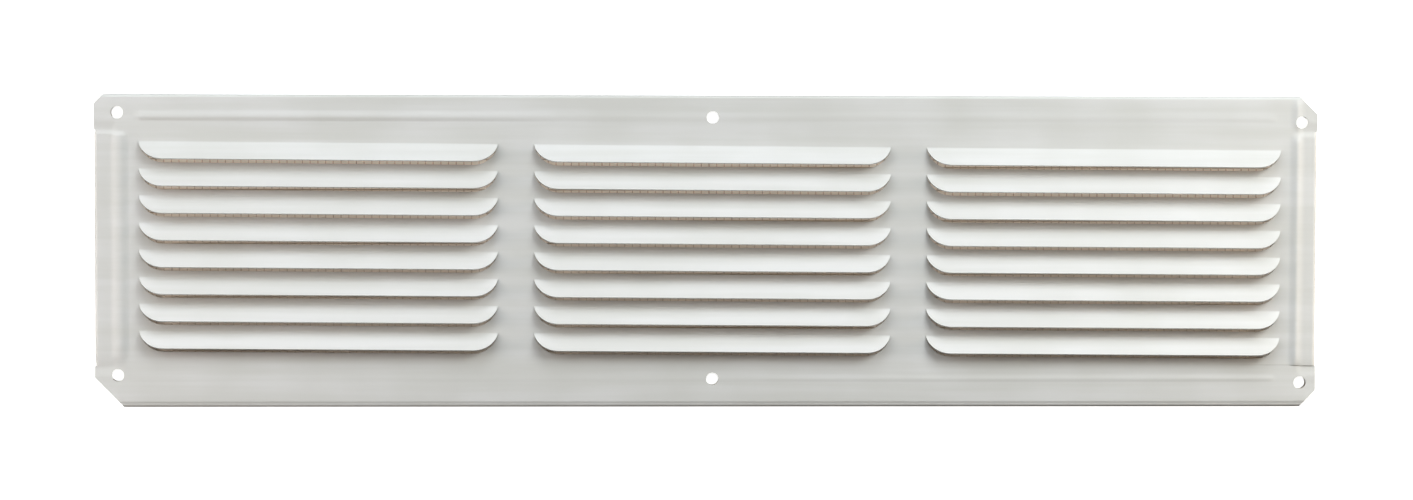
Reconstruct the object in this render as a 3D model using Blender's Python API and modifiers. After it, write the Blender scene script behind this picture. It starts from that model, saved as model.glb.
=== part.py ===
"""Soffit vent: one hemmed, lanced aluminium sheet with an insect screen held in its hems.

The vent lies on its back. X runs along its length, +Y points to the edge that the slats
hang from, and +Z points out of the face. All sizes are in metres.
"""

import math

import bmesh
import bpy
from mathutils import Matrix, Vector

# Overall size
LENGTH = 0.4064
HEIGHT = 0.1036

# Sheet and hems. A hem is measured from the outer edge to the edge of its return.
SHEET = 0.0005
POCKET = 0.0012
TOP_HEM = 0.0073
BOTTOM_HEM = 0.0093
LEFT_HEM = 0.0082
RIGHT_HEM = 0.0068
FOLD_STEPS = 8

# Corners: the end hems stop short of them, and each is clipped by its own amount.
END_HEM_FROM_TOP = 0.0118
END_HEM_FROM_BOTTOM = 0.0136
CORNER_STAND_OUT = 0.0004
FOLD_RELIEF = 0.0005
CORNER_DROP = 0.0003
TOP_LEFT_CLIP = 0.0030
TOP_RIGHT_CLIP = 0.0059
BOTTOM_LEFT_CLIP = 0.0098
BOTTOM_RIGHT_CLIP = 0.0054

# Ridges that the edges of the returns press up through the face
RIDGE_RISE = 0.0004
RIDGE_WIDTH = 0.0048
RIDGE_RUNOUT = 0.0030
LONG_RIDGE_FROM_END = 0.0130
RIDGE_STEPS = 4
RUNOUT_STEPS = 2

# Slats, each cut on three sides and bent out along its straight top edge
SLAT_WIDTH = 0.1187
SLAT_DEPTH = 0.0071
SLAT_TILT = math.radians(35.6)
SLAT_CORNER = 0.0083
CORNER_STEPS = 8
CUT_WIDTH = 0.0002
STRIP_BETWEEN_SLATS = 0.00166
GAP_BETWEEN_BANKS = 0.0118
FLAT_ABOVE_AND_BELOW = 0.0050
FLAT_AT_ENDS = 0.0015

# Place of the slats and screw holes on the face
PATTERN_RIGHT = 0.0012
PATTERN_UP = 0.0010
ROW_FALL = math.radians(0.37)

# Screw holes
HOLE_DIAMETER = 0.0040
HOLE_FROM_END = 0.0064
HOLE_FROM_EDGE = 0.0083
HOLE_SIDES = 24

# Insect screen: a coarse lattice of raised wires on one thin wall
SCREEN_WALL = 0.0004
SCREEN_FROM_FOLD = 0.0010
SCREEN_BORDER = 0.0090
MESH_PITCH = 0.0200
BAR_WIDTH = 0.0035
CLEARANCE = 0.0003

# Base colours, the angle that rounds are smoothed under, and how near a point counts as on a line
PAINT_WHITE = (0.72, 0.72, 0.70)
WIRE_GREY = (0.55, 0.53, 0.50)
SMOOTH_UNDER = math.radians(30)
ON_LINE = 1e-7

# Levels and lines that follow from the sizes above
FOLD_RADIUS = SHEET + POCKET / 2
FOLD_CENTRE = FOLD_RADIUS
BEND_RADIUS = FOLD_RADIUS - SHEET / 2
FACE = FOLD_CENTRE + BEND_RADIUS
FOLD_X = LENGTH / 2 - CORNER_STAND_OUT - FOLD_RADIUS
FOLD_Y = HEIGHT / 2 - FOLD_RADIUS
END_HEM_TOP = HEIGHT / 2 - END_HEM_FROM_TOP
END_HEM_BOTTOM = END_HEM_FROM_BOTTOM - HEIGHT / 2
TOP_RIDGE = HEIGHT / 2 - TOP_HEM
BOTTOM_RIDGE = BOTTOM_HEM - HEIGHT / 2
LEFT_RIDGE = LEFT_HEM - LENGTH / 2
RIGHT_RIDGE = LENGTH / 2 - RIGHT_HEM
LONG_RIDGE_END = LENGTH / 2 - LONG_RIDGE_FROM_END
ROW_PITCH = SLAT_DEPTH + CUT_WIDTH + STRIP_BETWEEN_SLATS
BANK_PITCH = SLAT_WIDTH + GAP_BETWEEN_BANKS
HOLE_CUTTER_LENGTH = 6 * FOLD_RADIUS
WIRE = POCKET - 2 * CLEARANCE
SCREEN_LEVEL = SHEET + POCKET / 2
SCREEN_X = FOLD_X - SCREEN_FROM_FOLD
SCREEN_Y = FOLD_Y - SCREEN_FROM_FOLD
SCREEN_COLUMNS = int(2 * (SCREEN_X - SCREEN_BORDER) / MESH_PITCH)
SCREEN_ROWS = int(2 * (SCREEN_Y - SCREEN_BORDER) / MESH_PITCH)


def clear_scene():
    for old in list(bpy.data.objects):
        bpy.data.objects.remove(old, do_unlink=True)


def new_collection(name):
    collection = bpy.data.collections.new(name)
    bpy.context.scene.collection.children.link(collection)
    return collection


def new_material(name, colour, metallic, roughness):
    material = bpy.data.materials.new(name)
    material.use_nodes = True
    shader = material.node_tree.nodes["Principled BSDF"]
    shader.inputs["Base Color"].default_value = (*colour, 1.0)
    shader.inputs["Metallic"].default_value = metallic
    shader.inputs["Roughness"].default_value = roughness
    return material


def new_object(name, bm, collection, material=None):
    mesh = bpy.data.meshes.new(name)
    bm.to_mesh(mesh)
    bm.free()
    made = bpy.data.objects.new(name, mesh)
    collection.objects.link(made)
    if material:
        mesh.materials.append(material)
    return made


def add_loop(bm, points):
    """A closed ring of edges through the points."""
    corners = [bm.verts.new(point) for point in points]
    for first, second in zip(corners, corners[1:] + corners[:1]):
        bm.edges.new((first, second))
    return corners


def fill(bm):
    """One flat skin between the outer ring and the rings inside it, facing +Z."""
    bmesh.ops.triangle_fill(bm, use_beauty=True, edges=bm.edges[:], normal=(0, 0, 1))
    for face in bm.faces:
        face.normal_update()
        if face.normal.z < 0:
            face.normal_flip()


def pattern_point(across, up, out=0.0):
    """A point of the slat and screw pattern, whose rows fall slightly to the right."""
    x = PATTERN_RIGHT + across
    y = PATTERN_UP + up - across * math.tan(ROW_FALL)
    return Vector((x, y, FACE + out))


def slat_edge(grow=0.0):
    """(across, down) from the left tip round the lip to the right tip; grow widens it all round."""
    rise = SLAT_CORNER - SLAT_DEPTH
    reach = math.sqrt(SLAT_CORNER**2 - max(rise, 0.0) ** 2)
    radius = SLAT_CORNER + grow
    start = -math.asin(max(rise, 0.0) / radius)
    half = []
    if rise < 0:
        half.append((SLAT_WIDTH / 2 + grow, 0.0))
    for step in range(CORNER_STEPS + 1):
        angle = start + (-math.pi / 2 - start) * step / CORNER_STEPS
        across = SLAT_WIDTH / 2 - reach + radius * math.cos(angle)
        half.append((across, -rise - radius * math.sin(angle)))
    half[0] = (half[0][0], 0.0)
    return [(-across, down) for across, down in half] + half[::-1]


def rows_and_banks():
    """(bank centre, hinge height) of every slat that fits the flat field inside the ridges."""
    half_field = min(TOP_RIDGE - PATTERN_UP, PATTERN_UP - BOTTOM_RIDGE) - RIDGE_WIDTH / 2
    half_field -= FLAT_ABOVE_AND_BELOW
    rows = int((2 * half_field + STRIP_BETWEEN_SLATS) / ROW_PITCH)
    half_length = min(RIGHT_RIDGE - PATTERN_RIGHT, PATTERN_RIGHT - LEFT_RIDGE) - RIDGE_WIDTH / 2
    half_length -= FLAT_AT_ENDS
    banks = int((2 * half_length + GAP_BETWEEN_BANKS) / BANK_PITCH)
    shown_depth = SLAT_DEPTH * math.cos(SLAT_TILT)
    for bank in range(banks):
        for row in range(rows):
            up = ((rows - 1) / 2 - row) * ROW_PITCH + shown_depth / 2
            yield (bank - (banks - 1) / 2) * BANK_PITCH, up


def face_outline():
    """The flat part of the face, inside the folds, with a relief slot at each end of an end hem."""
    half = [
        (LENGTH / 2, -FOLD_Y),
        (LENGTH / 2, END_HEM_BOTTOM),
        (FOLD_X, END_HEM_BOTTOM),
        (FOLD_X, END_HEM_BOTTOM + FOLD_RELIEF),
        (FOLD_X, END_HEM_TOP - FOLD_RELIEF),
        (FOLD_X, END_HEM_TOP),
        (LENGTH / 2, END_HEM_TOP),
        (LENGTH / 2, FOLD_Y),
    ]
    return [(x, y, FACE) for x, y in half] + [(-x, y, FACE) for x, y in half[::-1]]


def lance_openings(bm):
    """Rings round the openings; returns each slat's two root corners, which stay on the sheet."""
    roots = []
    for centre, up in rows_and_banks():
        cut = [pattern_point(centre + u, up - down) for u, down in slat_edge(CUT_WIDTH)]
        right_root = pattern_point(centre + SLAT_WIDTH / 2, up)
        left_root = pattern_point(centre - SLAT_WIDTH / 2, up)
        ring = add_loop(bm, cut + [right_root, left_root])
        roots.append((centre, up, ring[-1], ring[-2]))
    return roots


def bend_out_slats(bm, roots):
    """Each slat is the piece of sheet from its opening, turned out about its root."""
    for centre, up, left_root, right_root in roots:
        free = []
        for across, down in slat_edge()[1:-1]:
            turned = pattern_point(
                centre + across,
                up - down * math.cos(SLAT_TILT),
                down * math.sin(SLAT_TILT),
            )
            free.append(bm.verts.new(turned))
        bm.faces.new([left_root, *free, right_root])


def score(bm, axis, places, wanted):
    """Adds straight lines of vertices across the faces whose middle the test wants."""
    for place in places:
        faces = [face for face in bm.faces if wanted(face.calc_center_median())]
        edges = {edge for face in faces for edge in face.edges}
        corners = {corner for face in faces for corner in face.verts}
        point = [0.0, 0.0, 0.0]
        normal = [0.0, 0.0, 0.0]
        point[axis] = place
        normal[axis] = 1.0
        bmesh.ops.bisect_plane(
            bm,
            geom=[*corners, *edges, *faces],
            dist=ON_LINE,
            plane_co=point,
            plane_no=normal,
        )


def ridge_lines(centre):
    start = centre - RIDGE_WIDTH / 2
    return [start + RIDGE_WIDTH * step / RIDGE_STEPS for step in range(RIDGE_STEPS + 1)]


def runout_lines(end, direction):
    step_length = direction * RIDGE_RUNOUT / RUNOUT_STEPS
    return [end + step_length * step for step in range(RUNOUT_STEPS + 1)]


def ease(distance, over):
    """0 up to the line, 1 from the given distance past it, and a smooth rise between."""
    share = min(max(distance / over, 0.0), 1.0)
    return (1 - math.cos(math.pi * share)) / 2


def across_ridge(offset):
    return 1 - ease(abs(offset), RIDGE_WIDTH / 2)


def relief(x, y):
    """Height of the face over its flat level: four ridges, and corners pressed down."""
    inside_ends = ease(END_HEM_TOP - y, RIDGE_RUNOUT) * ease(y - END_HEM_BOTTOM, RIDGE_RUNOUT)
    long_ridge = max(across_ridge(y - TOP_RIDGE), across_ridge(y - BOTTOM_RIDGE))
    long_ridge *= ease(LONG_RIDGE_END - abs(x), RIDGE_RUNOUT)
    end_ridge = max(across_ridge(x - LEFT_RIDGE), across_ridge(x - RIGHT_RIDGE)) * inside_ends
    past_end = max(ease(LEFT_RIDGE - x, RIDGE_WIDTH / 2), ease(x - RIGHT_RIDGE, RIDGE_WIDTH / 2))
    past_edge = max(ease(y - END_HEM_TOP, RIDGE_RUNOUT), ease(END_HEM_BOTTOM - y, RIDGE_RUNOUT))
    return RIDGE_RISE * max(long_ridge, end_ridge) - CORNER_DROP * past_end * past_edge


def press_ridges(bm):
    inner_left = LEFT_RIDGE + RIDGE_WIDTH / 2
    inner_right = RIGHT_RIDGE - RIDGE_WIDTH / 2
    score(bm, 1, ridge_lines(TOP_RIDGE), lambda at: at.y > 0)
    score(bm, 1, ridge_lines(BOTTOM_RIDGE), lambda at: at.y < 0)
    score(bm, 0, ridge_lines(LEFT_RIDGE), lambda at: at.x < 0)
    score(bm, 0, ridge_lines(RIGHT_RIDGE), lambda at: at.x > 0)

    def beside_long_ridge(at):
        return abs(at.y - TOP_RIDGE) < RIDGE_WIDTH / 2 or abs(at.y - BOTTOM_RIDGE) < RIDGE_WIDTH / 2

    def beside_end_ridge(at):
        return at.x < inner_left or at.x > inner_right

    score(bm, 0, runout_lines(LONG_RIDGE_END, -1), beside_long_ridge)
    score(bm, 0, runout_lines(-LONG_RIDGE_END, 1), beside_long_ridge)
    for end, inward in ((END_HEM_TOP, -1), (END_HEM_BOTTOM, 1)):
        score(bm, 1, runout_lines(end, inward), beside_end_ridge)
        score(bm, 1, runout_lines(end, -inward)[1:], beside_end_ridge)
    for corner in bm.verts:
        corner.co.z += relief(corner.co.x, corner.co.y)


def fold_hem(bm, axis, fold, half_turn, return_edge, keep=None):
    """Rolls the edge that lies on the fold line half a turn back, then adds the flat return."""
    along = 1 - axis
    edges = []
    for edge in bm.edges:
        on_line = all(abs(corner.co[axis] - fold) < ON_LINE for corner in edge.verts)
        middle = (edge.verts[0].co[along] + edge.verts[1].co[along]) / 2
        if edge.is_boundary and on_line and (keep is None or keep(middle)):
            edges.append(edge)
    centre = Vector((0.0, 0.0, FOLD_CENTRE))
    centre[axis] = fold
    turn_axis = Vector((0.0, 0.0, 0.0))
    turn_axis[along] = 1.0
    corners = {corner for edge in edges for corner in edge.verts}
    rolled = bmesh.ops.spin(
        bm,
        geom=[*corners, *edges],
        cent=centre,
        axis=turn_axis,
        angle=half_turn,
        steps=FOLD_STEPS,
        use_duplicate=False,
    )["geom_last"]
    last = [part for part in rolled if isinstance(part, bmesh.types.BMEdge)]
    added = bmesh.ops.extrude_edge_only(bm, edges=last)["geom"]
    for part in added:
        if isinstance(part, bmesh.types.BMVert):
            part.co[axis] = return_edge


def corner_clips(collection):
    """One long block beyond each clipped corner, turned 45 degrees."""
    bm = bmesh.new()
    clips = (
        (-1, 1, TOP_LEFT_CLIP),
        (1, 1, TOP_RIGHT_CLIP),
        (-1, -1, BOTTOM_LEFT_CLIP),
        (1, -1, BOTTOM_RIGHT_CLIP),
    )
    block = 2 * (max(clip for _, _, clip in clips) + FOLD_RADIUS)
    for side, end, clip in clips:
        outward = Vector((side, end, 0)).normalized()
        on_line = Vector((side * (LENGTH - clip) / 2, end * (HEIGHT - clip) / 2, FACE))
        place = Matrix.Translation(on_line + outward * block / 2)
        turn = Matrix.Rotation(math.radians(45), 4, "Z")
        bmesh.ops.create_cube(bm, size=block, matrix=place @ turn)
    return finish_cutter("corner_clips", bm, collection)


def screw_holes(name, diameter, collection):
    bm = bmesh.new()
    half_length = LENGTH / 2 - HOLE_FROM_END
    half_height = HEIGHT / 2 - HOLE_FROM_EDGE
    for across in (-half_length, 0.0, half_length):
        for up in (-half_height, half_height):
            bmesh.ops.create_cone(
                bm,
                cap_ends=True,
                segments=HOLE_SIDES,
                radius1=diameter / 2,
                radius2=diameter / 2,
                depth=HOLE_CUTTER_LENGTH,
                matrix=Matrix.Translation(pattern_point(across, up)),
            )
    return finish_cutter(name, bm, collection)


def finish_cutter(name, bm, collection):
    bmesh.ops.recalc_face_normals(bm, faces=bm.faces[:])
    cutter = new_object(name, bm, collection)
    cutter.display_type = "WIRE"
    cutter.hide_render = True
    return cutter


def thicken(made, wall):
    skin = made.modifiers.new("Wall", "SOLIDIFY")
    skin.thickness = wall
    skin.offset = 0.0
    skin.use_even_offset = True


def combine(made, name, other, operation, crossing=False):
    step = made.modifiers.new(name, "BOOLEAN")
    step.operation = operation
    step.solver = "EXACT"
    step.use_self = crossing
    step.object = other


def smooth_rounds(made):
    made.data.shade_smooth()
    made.data.set_sharp_from_angle(angle=SMOOTH_UNDER)


def louvred_panel(parts, cutters, paint):
    """The sheet: lanced flat, ridged, hemmed on four sides, then its slats are bent out."""
    bm = bmesh.new()
    add_loop(bm, face_outline())
    roots = lance_openings(bm)
    fill(bm)
    press_ridges(bm)
    fold_hem(bm, 1, FOLD_Y, -math.pi, TOP_RIDGE)
    fold_hem(bm, 1, -FOLD_Y, math.pi, BOTTOM_RIDGE)

    def between_corners(up):
        return END_HEM_BOTTOM + FOLD_RELIEF < up < END_HEM_TOP - FOLD_RELIEF

    fold_hem(bm, 0, FOLD_X, math.pi, RIGHT_RIDGE, between_corners)
    fold_hem(bm, 0, -FOLD_X, -math.pi, LEFT_RIDGE, between_corners)
    bend_out_slats(bm, roots)
    bmesh.ops.recalc_face_normals(bm, faces=bm.faces[:])
    panel = new_object("louvred_panel", bm, parts, paint)
    thicken(panel, SHEET)
    combine(panel, "Corner clips", corner_clips(cutters), "DIFFERENCE")
    holes = screw_holes("screw_holes", HOLE_DIAMETER, cutters)
    combine(panel, "Screw holes", holes, "DIFFERENCE")
    smooth_rounds(panel)


def screen_clip():
    """Leg of the screen's clipped corners, which clears the pressed corners of the face."""
    corner_x = max(LEFT_HEM, RIGHT_HEM) + RIDGE_WIDTH / 2 - (LENGTH / 2 - SCREEN_X)
    corner_y = max(END_HEM_FROM_TOP, END_HEM_FROM_BOTTOM) - (HEIGHT / 2 - SCREEN_Y)
    return corner_x + corner_y + CLEARANCE


def mesh_gaps():
    """(left, bottom, right, top) of each gap of the lattice that stands clear of the clipped corners."""
    half_gap = (MESH_PITCH - BAR_WIDTH) / 2
    for column in range(SCREEN_COLUMNS):
        for row in range(SCREEN_ROWS):
            x = (column - (SCREEN_COLUMNS - 1) / 2) * MESH_PITCH
            y = (row - (SCREEN_ROWS - 1) / 2) * MESH_PITCH
            to_clip = SCREEN_X + SCREEN_Y - screen_clip() - abs(x) - abs(y) - 2 * half_gap
            if to_clip > BAR_WIDTH / 2:
                yield x - half_gap, y - half_gap, x + half_gap, y + half_gap


def add_wire(bm, x, y, length_x, length_y):
    place = Matrix.Translation((x, y, SCREEN_LEVEL)) @ Matrix.Diagonal((length_x, length_y, WIRE, 1.0))
    bmesh.ops.create_cube(bm, size=1.0, matrix=place)


def raised_wires(collection):
    """A wire along the middle of every bar of the lattice, both ways."""
    bm = bmesh.new()
    width = SCREEN_COLUMNS * MESH_PITCH
    height = SCREEN_ROWS * MESH_PITCH
    for column in range(SCREEN_COLUMNS + 1):
        add_wire(bm, column * MESH_PITCH - width / 2, 0.0, WIRE, height + WIRE)
    for row in range(SCREEN_ROWS + 1):
        add_wire(bm, 0.0, row * MESH_PITCH - height / 2, width + WIRE, WIRE)
    return finish_cutter("raised_wires", bm, collection)


def insect_screen(parts, cutters, metal):
    """The screen lies in the pocket between the face and the returns of the hems."""
    clip = screen_clip()
    half = [
        (SCREEN_X - clip, -SCREEN_Y),
        (SCREEN_X, clip - SCREEN_Y),
        (SCREEN_X, SCREEN_Y - clip),
        (SCREEN_X - clip, SCREEN_Y),
    ]
    bm = bmesh.new()
    outline = half + [(-x, y) for x, y in half[::-1]]
    add_loop(bm, [(x, y, SCREEN_LEVEL) for x, y in outline])
    for left, bottom, right, top in mesh_gaps():
        corners = ((left, bottom), (right, bottom), (right, top), (left, top))
        add_loop(bm, [(x, y, SCREEN_LEVEL) for x, y in corners])
    fill(bm)
    screen = new_object("insect_screen", bm, parts, metal)
    thicken(screen, SCREEN_WALL)
    combine(screen, "Wires", raised_wires(cutters), "UNION", crossing=True)
    holes = screw_holes("screen_screw_holes", HOLE_DIAMETER + 2 * CLEARANCE, cutters)
    combine(screen, "Screw holes", holes, "DIFFERENCE")


clear_scene()
vent = new_collection("soffit_vent")
tools = new_collection("cutters")
white_paint = new_material("white_coil_paint", PAINT_WHITE, metallic=0.0, roughness=0.45)
bare_wire = new_material("aluminium_wire", WIRE_GREY, metallic=1.0, roughness=0.4)
louvred_panel(vent, tools, white_paint)
insect_screen(vent, tools, bare_wire)
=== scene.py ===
"""The looks of the soffit vent: its painted, lanced and hemmed sheet and the woven screen in its hems.

The vent lies on its back. X runs along it, +Y points to the edge that the slats hang from, and +Z
points out of the face. All sizes are in metres.
"""

import math
import random

import bmesh
import bpy
from mathutils import Matrix, Vector, noise


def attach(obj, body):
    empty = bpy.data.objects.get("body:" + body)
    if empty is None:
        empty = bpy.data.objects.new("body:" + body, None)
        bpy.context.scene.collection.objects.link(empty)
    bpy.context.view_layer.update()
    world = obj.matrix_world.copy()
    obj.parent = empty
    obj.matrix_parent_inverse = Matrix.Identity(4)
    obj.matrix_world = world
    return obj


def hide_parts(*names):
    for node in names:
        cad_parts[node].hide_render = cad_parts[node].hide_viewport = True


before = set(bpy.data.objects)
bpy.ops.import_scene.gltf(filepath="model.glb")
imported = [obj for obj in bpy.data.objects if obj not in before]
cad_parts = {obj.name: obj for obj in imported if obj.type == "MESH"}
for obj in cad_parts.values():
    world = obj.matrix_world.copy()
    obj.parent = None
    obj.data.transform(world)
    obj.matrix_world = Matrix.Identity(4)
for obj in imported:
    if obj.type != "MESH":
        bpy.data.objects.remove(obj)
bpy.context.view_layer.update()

# The louvred sheet
# One sheet of soft aluminium, painted white on the coil. A press cuts each slat on three sides and
# bends it out. The four edges are then folded back over the screen, and their ends press ridges into
# the face.
LENGTH = 0.4064
HEIGHT = 0.1036
SHEET = 0.0005
POCKET = 0.0012
TOP_HEM = 0.0073
BOTTOM_HEM = 0.0093
LEFT_HEM = 0.0082
RIGHT_HEM = 0.0068
FOLD_STEPS = 12

END_HEM_FROM_TOP = 0.0118
END_HEM_FROM_BOTTOM = 0.0136
CORNER_STAND_OUT = 0.0001
FOLD_RELIEF = 0.0001
TOP_LEFT_CLIP = 0.0030
TOP_RIGHT_CLIP = 0.0059
BOTTOM_LEFT_CLIP = 0.0098
BOTTOM_RIGHT_CLIP = 0.0054

RIDGE_RISE = 0.0004
RIDGE_WIDTH = 0.0048
TOP_RIDGE_REACH = (0.0017, 0.0024)
BOTTOM_RIDGE_REACH = (0.0012, 0.0018)
LEFT_CREST_SHIFT = 0.0003
LEFT_RIDGE_REACH = (0.0035, 0.0032)
RIGHT_RIDGE_REACH = (0.0026, 0.0026)
LEFT_RIDGE_RISE = 0.0007
RIGHT_RIDGE_RISE = 0.00065
RIGHT_RIDGE_CREST = 0.7
CORNER_RIDGE_SHARE = 0.7
RIDGE_RUNOUT = 0.0030
LONG_RIDGE_FROM_END = 0.0130
TOP_RIDGE_LEAST = 0.25
TOP_RIDGE_GROWS_FROM = -0.020
TOP_RIDGE_GROWS_OVER = 0.090
BOTTOM_RIDGE_LEAST = 0.08
BOTTOM_RIDGE_GAIN = 0.28
BOTTOM_RIDGE_GROWS_FROM = -0.060
BOTTOM_RIDGE_GROWS_OVER = 0.200
LOW_HEM_RISE = 0.0004
LOW_HEM_ROUND = 0.0010
CORNER_GROOVE = 0.00035
GROOVE_FROM_HEM = 0.0003
GROOVE_REACH = (0.0022, 0.0035)
WAVE_RISE = 0.00006
WAVE_SPAN = (0.045, 0.018)
WAVE_SLICE = 3.7
WAVE_FADE = 0.005

SLATS = 8
BANKS = 3
SLAT_WIDTH = 0.1187
SLAT_DEPTH = 0.0071
SLAT_TILT = math.radians(35.6)
TILT_SPREAD = math.radians(0.8)
TILT_SEED = 16
SLAT_CORNER = 0.0083
SLAT_BEND = 0.0010
ROW_PITCH = 0.00896
BANK_PITCH = 0.1305
PATTERN_RIGHT = 0.0012
PATTERN_UP = 0.0010
ROW_FALL = math.radians(0.37)

HOLE_DIAMETER = 0.0040
HOLE_FROM_END = 0.0064
HOLE_FROM_EDGE = 0.0083
HOLE_SIDES = 48

FOLD_RADIUS = SHEET + POCKET / 2
BEND_RADIUS = FOLD_RADIUS - SHEET / 2
FACE = FOLD_RADIUS + BEND_RADIUS
FOLD_X = LENGTH / 2 - CORNER_STAND_OUT - FOLD_RADIUS
FOLD_Y = HEIGHT / 2 - FOLD_RADIUS
END_HEM_TOP = HEIGHT / 2 - END_HEM_FROM_TOP
END_HEM_BOTTOM = END_HEM_FROM_BOTTOM - HEIGHT / 2
TOP_RIDGE = HEIGHT / 2 - TOP_HEM
BOTTOM_RIDGE = BOTTOM_HEM - HEIGHT / 2
LEFT_RIDGE = LEFT_HEM - LENGTH / 2
LEFT_CREST = LEFT_RIDGE + LEFT_CREST_SHIFT
RIGHT_RIDGE = LENGTH / 2 - RIGHT_HEM
LONG_RIDGE_END = LENGTH / 2 - LONG_RIDGE_FROM_END
HOLE_X = LENGTH / 2 - HOLE_FROM_END
HOLE_Y = HEIGHT / 2 - HOLE_FROM_EDGE
CORNER_RISE = SLAT_CORNER - SLAT_DEPTH
CORNER_REACH = math.sqrt(SLAT_CORNER**2 - CORNER_RISE**2)
STRAIGHT_HALF = SLAT_WIDTH / 2 - CORNER_REACH
PUNCH_LENGTH = 4 * FACE
SHARP_BEND = math.radians(40)
SAME_PLACE = 1e-6
CLOSEST_LINES = 20 * SAME_PLACE
WASH_SLOT = 1
SHEARED_SLOT = 2


def evenly(start, end, steps):
    """Places from start to end in even steps, both included."""
    return [start + (end - start) * step / steps for step in range(steps + 1)]


def ease(distance, over):
    """0 up to the line, 1 from the given distance past it, and a smooth rise between."""
    share = min(max(distance / over, 0.0), 1.0)
    return (1 - math.cos(math.pi * share)) / 2


def hinge_height(row):
    """Height of a row's straight top edge in the middle of the sheet."""
    first = PATTERN_UP + (SLATS - 1) / 2 * ROW_PITCH + SLAT_DEPTH * math.cos(SLAT_TILT) / 2
    return first - row * ROW_PITCH


def bank_centre(bank):
    return PATTERN_RIGHT + (bank - (BANKS - 1) / 2) * BANK_PITCH


def cut_depth(x):
    """How deep a slat is cut at this place along the sheet: full in the middle, round at the tips."""
    across = min(abs(x - bank_centre(bank)) for bank in range(BANKS))
    if across >= SLAT_WIDTH / 2 - SAME_PLACE:
        return 0.0
    if across <= STRAIGHT_HALF:
        return SLAT_DEPTH
    return math.sqrt(SLAT_CORNER**2 - (across - STRAIGHT_HALF) ** 2) - CORNER_RISE


def sheet_columns():
    """Upright mesh lines: close on the ridges and round the slats' tips, and wider between."""
    tip_turn = math.asin(CORNER_RISE / SLAT_CORNER)
    tip = [STRAIGHT_HALF + SLAT_CORNER * math.cos(turn) for turn in evenly(tip_turn, math.pi / 2, 12)]
    places = {-LENGTH / 2, -FOLD_X, FOLD_X, LENGTH / 2}
    places.update(evenly(-FOLD_X, LEFT_CREST, 12))
    places.update(evenly(LEFT_CREST, LEFT_CREST + LEFT_RIDGE_REACH[1], 8))
    places.update(evenly(LEFT_CREST + LEFT_RIDGE_REACH[1], LEFT_RIDGE + RIDGE_WIDTH, 4))
    places.update(evenly(RIGHT_RIDGE - RIDGE_WIDTH, RIGHT_RIDGE, 12))
    places.update(evenly(RIGHT_RIDGE, FOLD_X, 12))
    for bank in range(BANKS):
        centre = bank_centre(bank)
        for offset in tip + evenly(0.0, STRAIGHT_HALF, 10)[:-1]:
            places.update((centre - offset, centre + offset))
    for bank in range(BANKS - 1):
        start = bank_centre(bank) + SLAT_WIDTH / 2
        places.update(evenly(start, start + BANK_PITCH - SLAT_WIDTH, 5))
    kept = []
    for x in sorted(places):
        if not kept or x - kept[-1] > CLOSEST_LINES:
            kept.append(x)
    return kept


def sheet_lines():
    """Level mesh lines from the top down.

    Each is a flat line's height, or a share of the way down a slat or the strip under it.
    """
    top = set(evenly(TOP_RIDGE - TOP_RIDGE_REACH[0], TOP_RIDGE + TOP_RIDGE_REACH[1], 14))
    top.update(evenly(END_HEM_TOP - RIDGE_RUNOUT, END_HEM_TOP, 8))
    top.update(evenly(END_HEM_TOP, END_HEM_TOP + GROOVE_FROM_HEM + GROOVE_REACH[1], 8))
    top.update((FOLD_Y, FOLD_Y - FOLD_RADIUS, END_HEM_TOP - FOLD_RELIEF))
    bottom = set(evenly(BOTTOM_RIDGE - BOTTOM_RIDGE_REACH[0], BOTTOM_RIDGE + BOTTOM_RIDGE_REACH[1], 10))
    bottom.update(evenly(END_HEM_BOTTOM - GROOVE_FROM_HEM - GROOVE_REACH[1], END_HEM_BOTTOM, 8))
    bottom.update(evenly(END_HEM_BOTTOM, END_HEM_BOTTOM + GROOVE_REACH[0], 6))
    bottom.update(evenly(-FOLD_Y, LOW_HEM_ROUND - FOLD_Y, 4))
    bottom.add(END_HEM_BOTTOM + FOLD_RELIEF)
    bend = SLAT_BEND * SLAT_TILT / SLAT_DEPTH
    slat_shares = evenly(0.0, bend, 3) + evenly(bend, 1.0, 6)[1:]
    first, last = hinge_height(0), hinge_height(SLATS)
    lines = [("flat", 0, y) for y in sorted(top, reverse=True) if y > first + CLOSEST_LINES]
    for row in range(SLATS):
        lines += [("slat", row, share) for share in slat_shares]
        lines += [("strip", row, share) for share in evenly(0.0, 1.0, 4)[1:-1]]
    lines.append(("strip", SLATS - 1, 1.0))
    lines += [("flat", 0, y) for y in sorted(bottom, reverse=True) if y < last - CLOSEST_LINES]
    return lines


def line_height(line, x):
    kind, row, value = line
    if kind == "flat":
        return value
    top = hinge_height(row)
    if kind == "slat":
        return top - value * cut_depth(x)
    return (top - cut_depth(x)) * (1 - value) + hinge_height(row + 1) * value


def row_fall(x, y):
    """How far the pattern drops here. It falls to the right, and the sheet's own edges stay square."""
    inside = ease(END_HEM_TOP - y, END_HEM_TOP - hinge_height(0))
    inside *= ease(y - END_HEM_BOTTOM, hinge_height(SLATS) - END_HEM_BOTTOM)
    return (x - PATTERN_RIGHT) * math.tan(ROW_FALL) * inside


def across_ridge(offset, reach, crest=0.0):
    """A ridge's share of its full height here, falling over its two reaches from its crest.

    A crest of 0 is round, and one of 1 is sharp.
    """
    share = min(abs(offset) / reach[offset > 0], 1.0)
    rounded = (1 + math.cos(math.pi * share)) / 2
    return rounded + crest * (1 - math.sin(math.pi * share / 2) - rounded)


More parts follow.
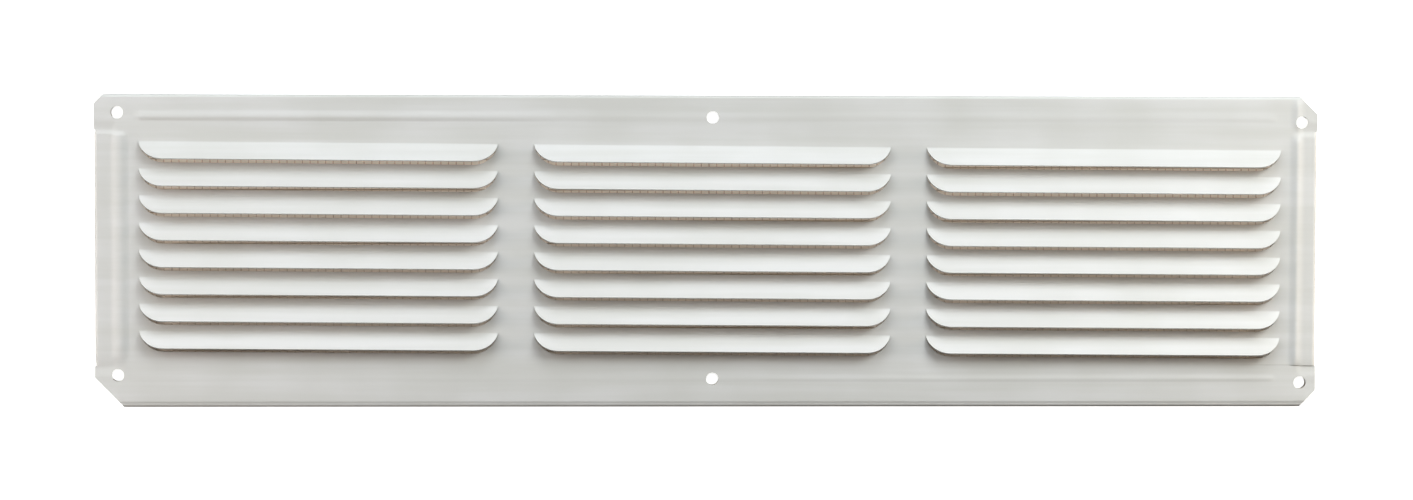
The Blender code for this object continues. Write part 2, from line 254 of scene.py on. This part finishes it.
def relief(x, y):
    """Height of the face over its flat level, from the hems under it and the way it was handled."""
    top_growth = ease(TOP_RIDGE_GROWS_FROM - x, TOP_RIDGE_GROWS_OVER)
    top_strength = TOP_RIDGE_LEAST + (1 - TOP_RIDGE_LEAST) * top_growth
    bottom_growth = ease(x - BOTTOM_RIDGE_GROWS_FROM, BOTTOM_RIDGE_GROWS_OVER)
    bottom_strength = BOTTOM_RIDGE_LEAST + BOTTOM_RIDGE_GAIN * bottom_growth
    long_ridge = RIDGE_RISE * max(
        across_ridge(y - TOP_RIDGE, TOP_RIDGE_REACH) * top_strength,
        across_ridge(y - BOTTOM_RIDGE, BOTTOM_RIDGE_REACH) * bottom_strength,
    )
    long_ridge *= ease(LONG_RIDGE_END - abs(x), RIDGE_RUNOUT)
    left_ridge = LEFT_RIDGE_RISE * across_ridge(x - LEFT_CREST, LEFT_RIDGE_REACH)
    right_ridge = RIGHT_RIDGE_RISE * across_ridge(
        x - RIGHT_RIDGE, RIGHT_RIDGE_REACH, crest=RIGHT_RIDGE_CREST
    )
    end_ridge = max(left_ridge, right_ridge)
    end_ridge *= ease(END_HEM_TOP - y, RIDGE_RUNOUT) * ease(y - END_HEM_BOTTOM, RIDGE_RUNOUT)
    corner_ridge = CORNER_RIDGE_SHARE * right_ridge * ease(y - END_HEM_TOP, RIDGE_RUNOUT)
    corner_ridge *= ease(FOLD_Y - y, FOLD_RADIUS)
    past_end = max(ease(LEFT_RIDGE - x, RIDGE_WIDTH / 2), ease(x - RIGHT_RIDGE, RIDGE_WIDTH / 2))
    past_hem = max(y - END_HEM_TOP, END_HEM_BOTTOM - y)
    groove = CORNER_GROOVE * across_ridge(past_hem - GROOVE_FROM_HEM, GROOVE_REACH) * past_end
    wave = WAVE_RISE * noise.noise(Vector((x / WAVE_SPAN[0], y / WAVE_SPAN[1], WAVE_SLICE)))
    wave *= ease(FOLD_Y - abs(y), WAVE_FADE) * ease(FOLD_X - abs(x), WAVE_FADE)
    low_hem = max(BOTTOM_RIDGE - BOTTOM_RIDGE_REACH[0] - y, 0.0) / (FOLD_Y + BOTTOM_RIDGE)
    low_hem *= LOW_HEM_RISE * ease(y + FOLD_Y, LOW_HEM_ROUND)
    return max(long_ridge, end_ridge, corner_ridge) + low_hem + wave - groove


def slat_of(x, y):
    """The row and bank of the slat that this point of the flat sheet is cut into, or None."""
    for row in range(SLATS):
        if 0.0 < hinge_height(row) - y < cut_depth(x):
            return row, min(range(BANKS), key=lambda bank: abs(x - bank_centre(bank)))
    return None


def bent_out(down, tilt):
    """The fall and rise of a point of a slat that lay this far under its hinge before it was bent."""
    bend = SLAT_BEND * tilt
    if down < bend:
        turned = down / SLAT_BEND
        return SLAT_BEND * math.sin(turned), SLAT_BEND * (1 - math.cos(turned))
    fall = SLAT_BEND * math.sin(tilt) + (down - bend) * math.cos(tilt)
    return fall, SLAT_BEND * (1 - math.cos(tilt)) + (down - bend) * math.sin(tilt)


def fold_hem(bm, across, fold, half_turn, end, keep):
    """Rolls the edge on the fold line half a turn back, then draws the flat return to its end."""
    along = 1 - across
    edges = []
    for edge in bm.edges:
        on_line = all(abs(corner.co[across] - fold) < SAME_PLACE for corner in edge.verts)
        middle = (edge.verts[0].co[along] + edge.verts[1].co[along]) / 2
        if edge.is_boundary and on_line and keep(middle):
            edges.append(edge)
    centre = Vector((0.0, 0.0, FOLD_RADIUS))
    centre[across] = fold
    turn_axis = Vector((0.0, 0.0, 0.0))
    turn_axis[along] = 1.0
    corners = {corner for edge in edges for corner in edge.verts}
    rolled = bmesh.ops.spin(
        bm,
        geom=[*corners, *edges],
        cent=centre,
        axis=turn_axis,
        angle=half_turn,
        steps=FOLD_STEPS,
        use_duplicate=False,
    )["geom_last"]
    last = [part for part in rolled if isinstance(part, bmesh.types.BMEdge)]
    for part in bmesh.ops.extrude_edge_only(bm, edges=last)["geom"]:
        if isinstance(part, bmesh.types.BMVert):
            part.co[across] = end


def on_end_fold(y):
    return END_HEM_BOTTOM + FOLD_RELIEF < y < END_HEM_TOP - FOLD_RELIEF


columns = sheet_columns()
lines = sheet_lines()
sheet = bmesh.new()
bmesh.ops.create_grid(sheet, x_segments=len(columns) - 1, y_segments=len(lines) - 1, size=1.0)
for corner in sheet.verts:
    x = columns[round((corner.co.x + 1) / 2 * (len(columns) - 1))]
    line = lines[round((1 - corner.co.y) / 2 * (len(lines) - 1))]
    corner.co = Vector((x, line_height(line, x), FACE))
bmesh.ops.remove_doubles(sheet, verts=sheet.verts[:], dist=SAME_PLACE)

beyond_fold = []
for face in sheet.faces:
    middle = face.calc_center_median()
    if abs(middle.x) > FOLD_X and END_HEM_BOTTOM < middle.y < END_HEM_TOP:
        beyond_fold.append(face)
bmesh.ops.delete(sheet, geom=beyond_fold, context="FACES")

slat_faces = {}
for face in sheet.faces:
    middle = face.calc_center_median()
    slat = slat_of(middle.x, middle.y)
    if slat:
        slat_faces[face] = slat
cuts = []
for edge in sheet.edges:
    slat_sides = sum(face in slat_faces for face in edge.link_faces)
    on_hinge = all(
        min(abs(corner.co.y - hinge_height(row)) for row in range(SLATS)) < SAME_PLACE
        for corner in edge.verts
    )
    if slat_sides == 1 and not on_hinge:
        cuts.append(edge)
bmesh.ops.split_edges(sheet, edges=cuts)

tilt_of = {}
tilt_spread = random.Random(TILT_SEED)
for row in range(SLATS):
    for bank in range(BANKS):
        tilt_of[row, bank] = SLAT_TILT + tilt_spread.uniform(-TILT_SPREAD, TILT_SPREAD)
slat_corners = {corner: place for face, place in slat_faces.items() for corner in face.verts}
for corner in sheet.verts:
    x, flat_y = corner.co.x, corner.co.y
    if corner in slat_corners:
        row, bank = slat_corners[corner]
        fall, rise = bent_out(max(hinge_height(row) - flat_y, 0.0), tilt_of[row, bank])
        corner.co.y = hinge_height(row) - fall
        corner.co.z += rise
    corner.co.z += relief(x, flat_y)
    corner.co.y -= row_fall(x, flat_y)

fold_hem(sheet, 1, FOLD_Y, -math.pi, TOP_RIDGE, lambda x: True)
fold_hem(sheet, 1, -FOLD_Y, math.pi, BOTTOM_RIDGE, lambda x: True)
fold_hem(sheet, 0, FOLD_X, math.pi, RIGHT_RIDGE, on_end_fold)
fold_hem(sheet, 0, -FOLD_X, -math.pi, LEFT_RIDGE, on_end_fold)

for end_side, edge_side, clip in (
    (-1, 1, TOP_LEFT_CLIP),
    (1, 1, TOP_RIGHT_CLIP),
    (-1, -1, BOTTOM_LEFT_CLIP),
    (1, -1, BOTTOM_RIGHT_CLIP),
):
    bmesh.ops.bisect_plane(
        sheet,
        geom=sheet.verts[:] + sheet.edges[:] + sheet.faces[:],
        dist=SAME_PLACE,
        plane_co=(end_side * (LENGTH - clip) / 2, edge_side * (HEIGHT - clip) / 2, FACE),
        plane_no=(end_side, edge_side, 0.0),
        clear_outer=True,
    )
bmesh.ops.recalc_face_normals(sheet, faces=sheet.faces[:])
sheet.normal_update()
if sum(face.normal.z * face.calc_area() for face in sheet.faces) < 0:
    bmesh.ops.reverse_faces(sheet, faces=sheet.faces[:])
sheet_mesh = bpy.data.meshes.new("louvred_sheet")
sheet.to_mesh(sheet_mesh)
sheet.free()

punches = bmesh.new()
for across in (-HOLE_X, 0.0, HOLE_X):
    for up in (PATTERN_UP - HOLE_Y, PATTERN_UP + HOLE_Y):
        bmesh.ops.create_cone(
            punches,
            cap_ends=True,
            segments=HOLE_SIDES,
            radius1=HOLE_DIAMETER / 2,
            radius2=HOLE_DIAMETER / 2,
            depth=PUNCH_LENGTH,
            matrix=Matrix.Translation(
                (PATTERN_RIGHT + across, up - across * math.tan(ROW_FALL), FACE)
            ),
        )
punch_mesh = bpy.data.meshes.new("screw_hole_punches")
for face in punches.faces:
    face.material_index = SHEARED_SLOT
punches.to_mesh(punch_mesh)
punches.free()


def linear(hex_colour):
    """An sRGB hex colour as the linear colour that a shader takes."""
    shares = [int(hex_colour[start : start + 2], 16) / 255 for start in (1, 3, 5)]
    return (*(s / 12.92 if s <= 0.04045 else ((s + 0.055) / 1.055) ** 2.4 for s in shares), 1.0)


def add_node(tree, kind, inputs=None, **settings):
    """Adds one node. Each input is a plain value, or a node and the name of the output it takes."""
    added = tree.nodes.new(kind)
    for name, value in settings.items():
        setattr(added, name, value)
    for name, value in (inputs or {}).items():
        if isinstance(value, tuple) and isinstance(value[0], bpy.types.Node):
            tree.links.new(value[0].outputs[value[1]], added.inputs[name])
        else:
            added.inputs[name].default_value = value
    return added


def empty_material(name):
    made = bpy.data.materials.new(name)
    made.use_nodes = True
    made.node_tree.nodes.clear()
    return made


# White polyester coil paint: baked on by rollers, so it is even and satin, with a faint orange peel of a
# millimetre or so and fainter streaks along the sheet. To the eye it is a soft white, warm in the shade.
PAINT_LIGHT = "#E4E4E1"
PAINT_DARK = "#DCDCD7"
ORANGE_PEEL = 0.0012
PEEL_DEPTH = 0.00002
ROLLER_STREAK = 0.0035
PAINT_STREAK_DRAW = (0.04, 1.0, 1.0)
HANDLING_MARK = 0.030
PAINT_ROUGHNESS = (0.38, 0.46)
COATING_IOR = 1.5

coil_paint = empty_material("white_polyester_coil_paint")
tree = coil_paint.node_tree
place = add_node(tree, "ShaderNodeTexCoord")
drawn_out = add_node(
    tree, "ShaderNodeMapping", {"Vector": (place, "Object"), "Scale": PAINT_STREAK_DRAW}
)
streaks = add_node(
    tree, "ShaderNodeTexNoise",
    {"Vector": (drawn_out, "Vector"), "Scale": 1 / ROLLER_STREAK, "Detail": 3.0, "Roughness": 0.5},
)
marks = add_node(
    tree, "ShaderNodeTexNoise",
    {"Vector": (place, "Object"), "Scale": 1 / HANDLING_MARK, "Detail": 2.0, "Roughness": 0.5},
)
tone = add_node(
    tree, "ShaderNodeMath", {0: (streaks, "Fac"), 1: (marks, "Fac")}, operation="MULTIPLY"
)
tone_spread = add_node(
    tree, "ShaderNodeMapRange", {"Value": (tone, "Value"), "From Min": 0.15, "From Max": 0.35}
)
paint_colour = add_node(
    tree, "ShaderNodeMix",
    {0: (tone_spread, "Result"), 6: linear(PAINT_DARK), 7: linear(PAINT_LIGHT)},
    data_type="RGBA",
)
paint_roughness = add_node(
    tree, "ShaderNodeMapRange",
    {
        "Value": (marks, "Fac"),
        "From Min": 0.3,
        "From Max": 0.7,
        "To Min": PAINT_ROUGHNESS[0],
        "To Max": PAINT_ROUGHNESS[1],
    },
)
peel = add_node(
    tree, "ShaderNodeTexNoise",
    {"Vector": (place, "Object"), "Scale": 1 / ORANGE_PEEL, "Detail": 1.0, "Roughness": 0.4},
)
peel_bump = add_node(
    tree, "ShaderNodeBump", {"Height": (peel, "Fac"), "Strength": 0.25, "Distance": PEEL_DEPTH}
)
painted = add_node(
    tree, "ShaderNodeBsdfPrincipled",
    {
        "Base Color": (paint_colour, "Result"),
        "Roughness": (paint_roughness, "Result"),
        "Normal": (peel_bump, "Normal"),
        "IOR": COATING_IOR,
    },
)
add_node(tree, "ShaderNodeOutputMaterial", {"Surface": (painted, "BSDF")})

# Beige wash coat: the thin primer that the coil gets on its back. It is matt and a little uneven, so the
# undersides of the slats throw a warm light back into the gaps.
WASH_LIGHT = "#BCAA92"
WASH_DARK = "#A5927A"
WASH_STREAK_DRAW = (0.06, 1.0, 1.0)
WASH_DEPTH = 0.00002
WASH_ROUGHNESS = 0.55

wash_coat = empty_material("beige_wash_coat")
tree = wash_coat.node_tree
place = add_node(tree, "ShaderNodeTexCoord")
drawn_out = add_node(
    tree, "ShaderNodeMapping", {"Vector": (place, "Object"), "Scale": WASH_STREAK_DRAW}
)
uneven = add_node(
    tree, "ShaderNodeTexNoise",
    {"Vector": (drawn_out, "Vector"), "Scale": 1 / ROLLER_STREAK, "Detail": 4.0, "Roughness": 0.6},
)
wash_colour = add_node(
    tree, "ShaderNodeMix",
    {0: (uneven, "Fac"), 6: linear(WASH_DARK), 7: linear(WASH_LIGHT)},
    data_type="RGBA",
)
wash_bump = add_node(
    tree, "ShaderNodeBump", {"Height": (uneven, "Fac"), "Strength": 0.2, "Distance": WASH_DEPTH}
)
washed = add_node(
    tree, "ShaderNodeBsdfPrincipled",
    {
        "Base Color": (wash_colour, "Result"),
        "Normal": (wash_bump, "Normal"),
        "Roughness": WASH_ROUGHNESS,
        "IOR": COATING_IOR,
    },
)
add_node(tree, "ShaderNodeOutputMaterial", {"Surface": (washed, "BSDF")})

# Sheared aluminium: the bare metal of every cut edge, bright and finely scored through the sheet by the
# press. The real scores are finer than a pixel, so they are drawn 0.3 mm apart.
SHEARED_LIGHT = "#D2D1CE"
SHEARED_DARK = "#A9A7A3"
SHEAR_SCORE = 0.0003
SHEAR_SCORE_DRAW = (1.0, 0.3, 0.1)
SHEARED_ROUGHNESS = (0.3, 0.5)

sheared_edge = empty_material("sheared_aluminium")
tree = sheared_edge.node_tree
place = add_node(tree, "ShaderNodeTexCoord")
through = add_node(
    tree, "ShaderNodeMapping", {"Vector": (place, "Object"), "Scale": SHEAR_SCORE_DRAW}
)
scores = add_node(
    tree, "ShaderNodeTexNoise",
    {"Vector": (through, "Vector"), "Scale": 1 / SHEAR_SCORE, "Detail": 2.0, "Roughness": 0.6},
)
edge_colour = add_node(
    tree, "ShaderNodeMix",
    {0: (scores, "Fac"), 6: linear(SHEARED_DARK), 7: linear(SHEARED_LIGHT)},
    data_type="RGBA",
)
edge_roughness = add_node(
    tree, "ShaderNodeMapRange",
    {"Value": (scores, "Fac"), "To Min": SHEARED_ROUGHNESS[0], "To Max": SHEARED_ROUGHNESS[1]},
)
sheared = add_node(
    tree, "ShaderNodeBsdfPrincipled",
    {
        "Base Color": (edge_colour, "Result"),
        "Roughness": (edge_roughness, "Result"),
        "Metallic": 1.0,
    },
)
add_node(tree, "ShaderNodeOutputMaterial", {"Surface": (sheared, "BSDF")})

rough_panel = bpy.data.objects.new("louvred_sheet", sheet_mesh)
hole_punches = bpy.data.objects.new("screw_hole_punches", punch_mesh)
for made in (rough_panel, hole_punches):
    bpy.context.scene.collection.objects.link(made)
    for finish in (coil_paint, wash_coat, sheared_edge):
        made.data.materials.append(finish)
thickness = rough_panel.modifiers.new("sheet_thickness", "SOLIDIFY")
thickness.thickness = SHEET
thickness.offset = 0.0
thickness.material_offset = WASH_SLOT
thickness.material_offset_rim = SHEARED_SLOT
punching = rough_panel.modifiers.new("screw_holes", "BOOLEAN")
punching.operation = "DIFFERENCE"
punching.solver = "EXACT"
punching.object = hole_punches
evaluated = rough_panel.evaluated_get(bpy.context.evaluated_depsgraph_get())
panel_mesh = bpy.data.meshes.new_from_object(evaluated)
bpy.data.objects.remove(rough_panel)
bpy.data.objects.remove(hole_punches)
panel_mesh.shade_smooth()
panel_mesh.set_sharp_from_angle(angle=SHARP_BEND)
panel = bpy.data.objects.new("painted_louvred_panel", panel_mesh)
bpy.context.scene.collection.objects.link(panel)
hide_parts("louvred_panel")
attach(panel, "root")

# The insect screen
# Aluminium wire woven over and under at ten to the inch, cut to size with its corners off, and laid in
# the folds of the sheet before they are pressed shut. It is pierced where the middle screws go through.
WIRE = 0.00043
WIRE_SIDES = 6
MESH_PITCH = 0.00254
SCREEN_LEVEL = SHEET + POCKET / 2
SCREEN_FROM_FOLD = 0.0010
SCREEN_CLIP = 0.0199
PIERCED_RADIUS = 0.0032
SHARP_CUT = math.radians(70)

SCREEN_X = FOLD_X - SCREEN_FROM_FOLD
SCREEN_Y = FOLD_Y - SCREEN_FROM_FOLD
UPRIGHTS_EACH_SIDE = int(SCREEN_X / MESH_PITCH)
LEVELS_EACH_SIDE = int(SCREEN_Y / MESH_PITCH)


def weave_wires(bm, along, crossings_each_side, wires_each_side, first_side):
    """Draws one wire of each phase over and under its crossings, then repeats them across the screen."""
    across = 1 - along
    for phase in (0, 1):
        facing = Matrix.Rotation(math.pi / 2, 4, "Y" if along == 0 else "X")
        ring = bmesh.ops.create_circle(bm, segments=WIRE_SIDES, radius=WIRE / 2, matrix=facing)["verts"]
        wire = list(ring)
        side = first_side * (1 if (crossings_each_side + phase) % 2 else -1)
        for corner in ring:
            corner.co[along] -= crossings_each_side * MESH_PITCH
            corner.co.z += SCREEN_LEVEL + side * WIRE / 2
        for _ in range(2 * crossings_each_side):
            touching = {edge for corner in ring for edge in corner.link_edges}
            edges = [edge for edge in touching if all(corner in ring for corner in edge.verts)]
            grown = bmesh.ops.extrude_edge_only(bm, edges=edges)["geom"]
            ring = [part for part in grown if isinstance(part, bmesh.types.BMVert)]
            side = -side
            for corner in ring:
                corner.co[along] += MESH_PITCH
                corner.co.z += side * WIRE
            wire += ring
        start = phase - wires_each_side
        for corner in wire:
            corner.co[across] += start * MESH_PITCH
        pieces = wire + list({edge for corner in wire for edge in corner.link_edges})
        pieces += list({face for corner in wire for face in corner.link_faces})
        for step in range(start + 2, wires_each_side + 1, 2):
            copied = bmesh.ops.duplicate(bm, geom=pieces)["geom"]
            copies = [part for part in copied if isinstance(part, bmesh.types.BMVert)]
            for corner in copies:
                corner.co[across] += (step - start) * MESH_PITCH


screen = bmesh.new()
weave_wires(screen, 0, UPRIGHTS_EACH_SIDE, LEVELS_EACH_SIDE, 1)
weave_wires(screen, 1, LEVELS_EACH_SIDE, UPRIGHTS_EACH_SIDE, -1)
for end_side in (-1, 1):
    for edge_side in (-1, 1):
        bmesh.ops.bisect_plane(
            screen,
            geom=screen.verts[:] + screen.edges[:] + screen.faces[:],
            dist=SAME_PLACE,
            plane_co=(
                end_side * (SCREEN_X - SCREEN_CLIP / 2),
                edge_side * (SCREEN_Y - SCREEN_CLIP / 2),
                0.0,
            ),
            plane_no=(end_side, edge_side, 0.0),
            clear_outer=True,
        )
pierced = set()
for up in (PATTERN_UP - HOLE_Y, PATTERN_UP + HOLE_Y):
    screw = Vector((PATTERN_RIGHT, up))
    for face in screen.faces:
        if (face.calc_center_median().xy - screw).length < PIERCED_RADIUS:
            pierced.add(face)
bmesh.ops.delete(screen, geom=list(pierced), context="FACES")
cut_ends = [edge for edge in screen.edges if edge.is_boundary]
bmesh.ops.holes_fill(screen, edges=cut_ends, sides=2 * WIRE_SIDES)
bmesh.ops.recalc_face_normals(screen, faces=screen.faces[:])
screen_mesh = bpy.data.meshes.new("woven_insect_screen")
screen.to_mesh(screen_mesh)
screen.free()
screen_mesh.shade_smooth()
screen_mesh.set_sharp_from_angle(angle=SHARP_CUT)

# Drawn aluminium wire that has dulled in the air: a pale, warm oxide skin over bright metal, in small
# patches. The fine scores of the drawing die are too small to show.
WIRE_BRIGHT = "#EDE4D8"
WIRE_DULL = "#DCD1C3"
OXIDE_PATCH = 0.0060
WIRE_ROUGHNESS = (0.45, 0.75)
WIRE_BARE_SHARE = (0.55, 0.15)

dull_wire = empty_material("dulled_drawn_aluminium_wire")
tree = dull_wire.node_tree
place = add_node(tree, "ShaderNodeTexCoord")
oxide = add_node(
    tree, "ShaderNodeTexNoise",
    {"Vector": (place, "Object"), "Scale": 1 / OXIDE_PATCH, "Detail": 4.0, "Roughness": 0.6},
)
wire_colour = add_node(
    tree, "ShaderNodeMix",
    {0: (oxide, "Fac"), 6: linear(WIRE_BRIGHT), 7: linear(WIRE_DULL)},
    data_type="RGBA",
)
wire_roughness = add_node(
    tree, "ShaderNodeMapRange",
    {"Value": (oxide, "Fac"), "To Min": WIRE_ROUGHNESS[0], "To Max": WIRE_ROUGHNESS[1]},
)
bare_share = add_node(
    tree, "ShaderNodeMapRange",
    {"Value": (oxide, "Fac"), "To Min": WIRE_BARE_SHARE[0], "To Max": WIRE_BARE_SHARE[1]},
)
drawn_wire = add_node(
    tree, "ShaderNodeBsdfPrincipled",
    {
        "Base Color": (wire_colour, "Result"),
        "Roughness": (wire_roughness, "Result"),
        "Metallic": (bare_share, "Result"),
    },
)
add_node(tree, "ShaderNodeOutputMaterial", {"Surface": (drawn_wire, "BSDF")})
screen_mesh.materials.append(dull_wire)
woven_screen = bpy.data.objects.new("woven_insect_screen", screen_mesh)
bpy.context.scene.collection.objects.link(woven_screen)
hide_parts("insect_screen")
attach(woven_screen, "root")

# The table and the card on it
# A white light table, far larger than the view, is only a backdrop. It lights nothing, or the folded
# edges would burn out. The card shows only through the gaps under the slats. Its buff colour is painted
# shade and its glow is painted light, standing in for the warm shade in those gaps, and the glow grows
# towards the top edge, where that shade is lighter.
TABLE_SIZE = 3.0
TABLE_LEVEL = -0.0002
TABLE_WHITE = "#F6F6F4"
TABLE_GLOW = (1.1, 1.1)
CARD_LENGTH = 0.3850
CARD_HEIGHT = 0.0790
CARD_LEVEL = -0.0001
# The card's buff colour is painted shade, and its glow, stronger towards the top edge, is painted light.
CARD_PAINTED_SHADE = "#ECE2D6"
CARD_PAINTED_LIGHT = (0.06, 0.30)
GLOW_FROM_TO = (-0.036, 0.027)

for name, length, height, level, colour, glow, gives_light in (
    ("white_light_table", TABLE_SIZE, TABLE_SIZE, TABLE_LEVEL, TABLE_WHITE, TABLE_GLOW, False),
    ("painted_shade_card", CARD_LENGTH, CARD_HEIGHT, CARD_LEVEL, CARD_PAINTED_SHADE, CARD_PAINTED_LIGHT, True),
):
    flat = bmesh.new()
    bmesh.ops.create_grid(flat, x_segments=1, y_segments=1, size=0.5)
    bmesh.ops.scale(flat, verts=flat.verts[:], vec=(length, height, 1.0))
    bmesh.ops.translate(flat, verts=flat.verts[:], vec=(0.0, 0.0, level))
    flat_mesh = bpy.data.meshes.new(name)
    flat.to_mesh(flat_mesh)
    flat.free()
    surface = empty_material(name)
    tree = surface.node_tree
    place = add_node(tree, "ShaderNodeTexCoord")
    up_the_sheet = add_node(tree, "ShaderNodeSeparateXYZ", {"Vector": (place, "Object")})
    # For the card this glow is painted light that grows towards the top edge; for the table it is even.
    glow_here = add_node(
        tree, "ShaderNodeMapRange",
        {
            "Value": (up_the_sheet, "Y"),
            "From Min": GLOW_FROM_TO[0],
            "From Max": GLOW_FROM_TO[1],
            "To Min": glow[0],
            "To Max": glow[1],
        },
    )
    laid = add_node(
        tree, "ShaderNodeBsdfPrincipled",
        {
            "Base Color": linear(colour),
            "Roughness": 0.7,
            "Emission Color": linear(colour),
            "Emission Strength": (glow_here, "Result"),
        },
    )
    add_node(tree, "ShaderNodeOutputMaterial", {"Surface": (laid, "BSDF")})
    flat_mesh.materials.append(surface)
    stage_sheet = bpy.data.objects.new(name, flat_mesh)
    stage_sheet.visible_diffuse = gives_light
    stage_sheet.visible_glossy = gives_light
    bpy.context.scene.collection.objects.link(stage_sheet)

# The camera
# It looks almost straight down from 1.3 m, turned and tipped a little as in the photograph.
PHOTO_WIDTH_PX = 1413
FOCAL_LENGTH_PX = 3911.6
CAMERA_DISTANCE = 1.300
CAMERA_YAW = math.radians(-2.18)
CAMERA_PITCH = math.radians(2.884)
CAMERA_ROLL = math.radians(-0.16)
CENTRE_RIGHT = 0.000795
CENTRE_UP = -0.000455
SENSOR_WIDTH_MM = 36.0

camera_data = bpy.data.cameras.new("photo_camera")
camera_data.sensor_fit = "HORIZONTAL"
camera_data.sensor_width = SENSOR_WIDTH_MM
camera_data.lens = FOCAL_LENGTH_PX * SENSOR_WIDTH_MM / PHOTO_WIDTH_PX
camera = bpy.data.objects.new("photo_camera", camera_data)
bpy.context.scene.collection.objects.link(camera)
turn = Matrix.Rotation(CAMERA_PITCH, 3, "X") @ Matrix.Rotation(-CAMERA_YAW, 3, "Y")
turn = (turn @ Matrix.Rotation(CAMERA_ROLL, 3, "Z")).transposed()
seen_from = turn @ Vector((-CENTRE_RIGHT, -CENTRE_UP, CAMERA_DISTANCE)) + Vector((0.0, 0.0, FACE))
camera.matrix_world = Matrix.Translation(seen_from) @ turn.to_4x4()
bpy.context.scene.camera = camera

# The lights
# In a dim pale room, cool soft boxes stand past the edge that the slats hang from, two far off and one
# over each end. Warm ones stand past the ends and near the left one, and the lowest two rake across the
# ridges. The right end gets more light than the left, as in the photograph.
ROOM_STRENGTH = 0.05

world = bpy.data.worlds.new("pale_room")
bpy.context.scene.world = world
world.use_nodes = True
world.node_tree.nodes.clear()
room = add_node(
    world.node_tree, "ShaderNodeBackground",
    {"Color": (1.0, 1.0, 1.0, 1.0), "Strength": ROOM_STRENGTH},
)
add_node(world.node_tree, "ShaderNodeOutputWorld", {"Surface": (room, "Background")})
for name, spot, size, power, colour in (
    ("low_far_softbox", (0.00, 2.74, 1.22), (1.20, 0.90), 15.4, "#F8F8FF"),
    ("high_far_softbox", (0.00, 2.43, 1.76), (1.20, 0.90), 8.8, "#E1F1FF"),
    ("upper_left_softbox", (-0.60, 0.50, 0.55), (0.40, 0.40), 1.96, "#F0FAFF"),
    ("upper_right_softbox", (0.60, 0.50, 0.55), (0.40, 0.40), 5.85, "#F9FEFF"),
    ("left_softbox", (-0.98, 0.10, 0.47), (0.40, 0.40), 3.31, "#FFF8F2"),
    ("low_right_softbox", (0.55, 0.00, 0.125), (0.15, 0.15), 0.80, "#FFEBD5"),
    ("low_left_softbox", (-0.55, 0.00, 0.125), (0.15, 0.15), 0.45, "#FFF1EC"),
    ("near_left_softbox", (-0.32, -0.24, 0.25), (0.15, 0.15), 0.15, "#FFF1EC"),
):
    box = bpy.data.lights.new(name, "AREA")
    box.shape = "RECTANGLE"
    box.size, box.size_y = size
    box.energy = power
    box.color = linear(colour)[:3]
    lamp = bpy.data.objects.new(name, box)
    towards_vent = Vector(spot).to_track_quat("Z", "Y").to_matrix().to_4x4()
    lamp.matrix_world = Matrix.Translation(spot) @ towards_vent
    bpy.context.scene.collection.objects.link(lamp)
bpy.context.scene.view_settings.view_transform = "Standard"
